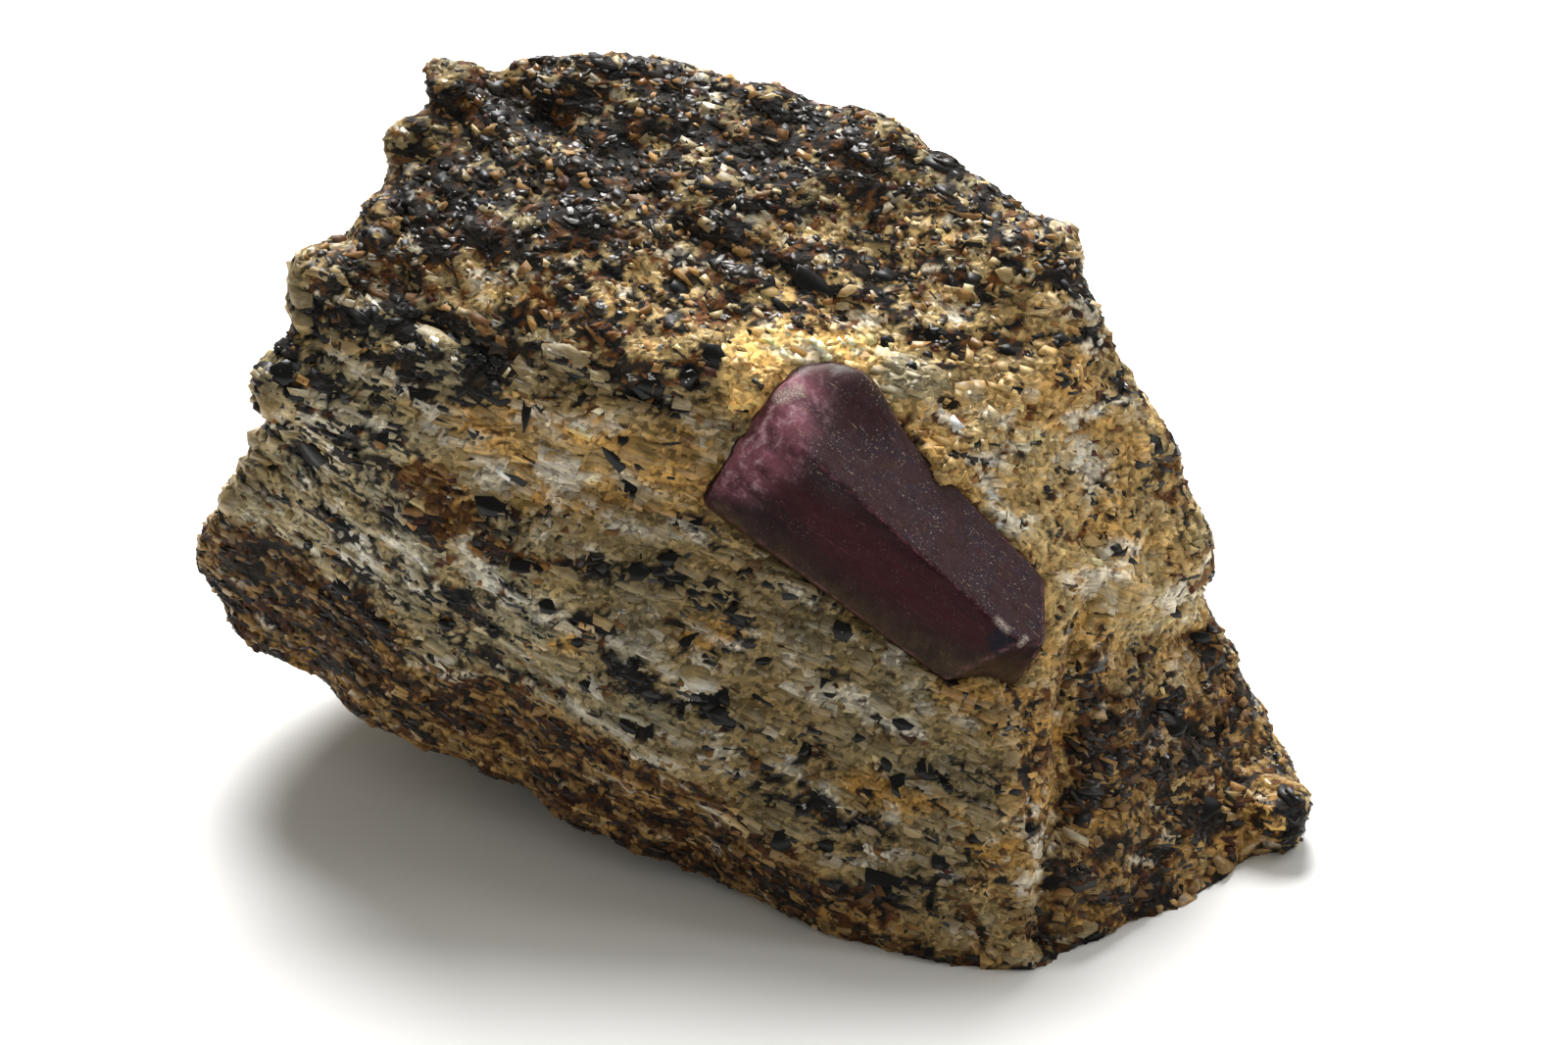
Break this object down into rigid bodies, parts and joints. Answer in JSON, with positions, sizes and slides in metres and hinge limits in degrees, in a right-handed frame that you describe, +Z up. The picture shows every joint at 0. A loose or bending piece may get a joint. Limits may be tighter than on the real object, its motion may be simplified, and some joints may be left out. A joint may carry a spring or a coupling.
{
  "type": "ruby in matrix",
  "caption": "Broken block of banded biotite gneiss with one tapered six-sided ruby crystal standing out of its front face; rests on a flat underside.",
  "frame": {"origin": "on the floor under the middle of the whole specimen's box", "axes": "+X along the block's length, to the viewer's right; -Y towards the viewer, the way the crystal looks; +Z up"},
  "size_m": [0.0536, 0.0318, 0.034],
  "materials": {
    "gneiss": "rough broken biotite gneiss, pale feldspar with dark mica bands",
    "ruby": "semi-gloss dark purple-red corundum, slightly translucent"
  },
  "bodies": {
    "root": {"matrix": "gneiss", "ruby_crystal": "ruby"}
  },
  "joints": []
}
